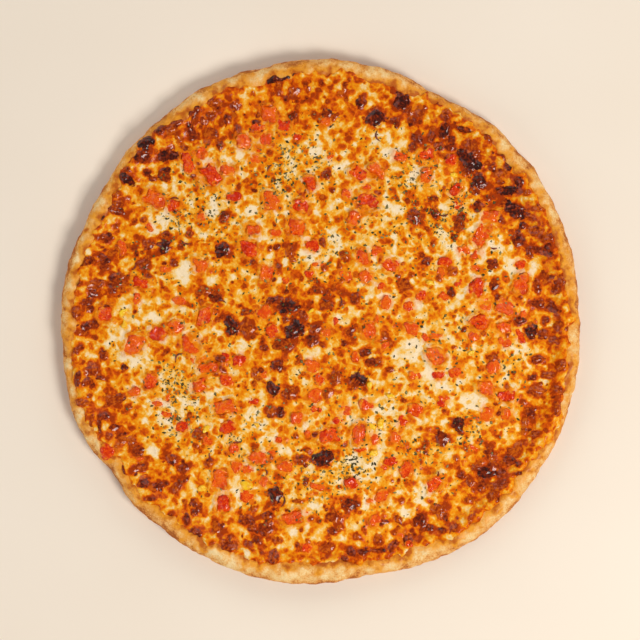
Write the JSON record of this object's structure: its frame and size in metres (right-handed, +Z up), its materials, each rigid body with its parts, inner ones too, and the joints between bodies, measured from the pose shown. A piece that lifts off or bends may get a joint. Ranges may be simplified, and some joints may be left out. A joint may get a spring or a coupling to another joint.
{
  "type": "margherita pizza",
  "caption": "Whole round baked pizza with a pale raised crust, melted browned cheese, diced tomato and dried herbs.",
  "frame": {"origin": "middle of the dough's flat underside, on the surface that the pizza lies on", "axes": "+Z up out of the topping; +X to the right and +Y to the top of the reference picture, seen from above"},
  "size_m": [0.3307, 0.3346, 0.0204],
  "materials": {
    "crust": "dry baked dough, pale golden and finely porous",
    "cheese": "melted cheese, oily, browned and blistered",
    "tomato": "moist baked tomato",
    "herb": "dry crumbled leaf"
  },
  "bodies": {
    "root": {"crust": "crust", "cheese": "cheese", "tomato_die_01": "tomato", "tomato_die_02": "tomato", "tomato_die_03": "tomato", "tomato_die_04": "tomato", "tomato_die_05": "tomato", "tomato_die_06": "tomato", "tomato_die_07": "tomato", "tomato_die_08": "tomato", "tomato_die_09": "tomato", "tomato_die_10": "tomato", "tomato_die_11": "tomato", "tomato_die_12": "tomato", "tomato_die_13": "tomato", "tomato_die_14": "tomato", "tomato_die_15": "tomato", "tomato_die_16": "tomato", "tomato_die_17": "tomato", "tomato_die_18": "tomato", "tomato_die_19": "tomato", "tomato_die_20": "tomato", "tomato_die_21": "tomato", "tomato_die_22": "tomato", "tomato_die_23": "tomato", "tomato_die_24": "tomato", "tomato_die_25": "tomato", "tomato_die_26": "tomato", "tomato_die_27": "tomato", "tomato_die_28": "tomato", "tomato_die_29": "tomato", "tomato_die_30": "tomato", "tomato_die_31": "tomato", "tomato_die_32": "tomato", "tomato_die_33": "tomato", "tomato_die_34": "tomato", "tomato_die_35": "tomato", "tomato_die_36": "tomato", "tomato_die_37": "tomato", "tomato_die_38": "tomato", "tomato_die_39": "tomato", "tomato_die_40": "tomato", "tomato_die_41": "tomato", "tomato_die_42": "tomato", "tomato_die_43": "tomato", "tomato_die_44": "tomato", "tomato_die_45": "tomato", "tomato_die_46": "tomato", "tomato_die_47": "tomato", "tomato_die_48": "tomato", "tomato_die_49": "tomato", "tomato_die_50": "tomato", "tomato_die_51": "tomato", "tomato_die_52": "tomato", "tomato_die_53": "tomato", "tomato_die_54": "tomato", "tomato_die_55": "tomato", "tomato_die_56": "tomato"}
  },
  "joints": []
}
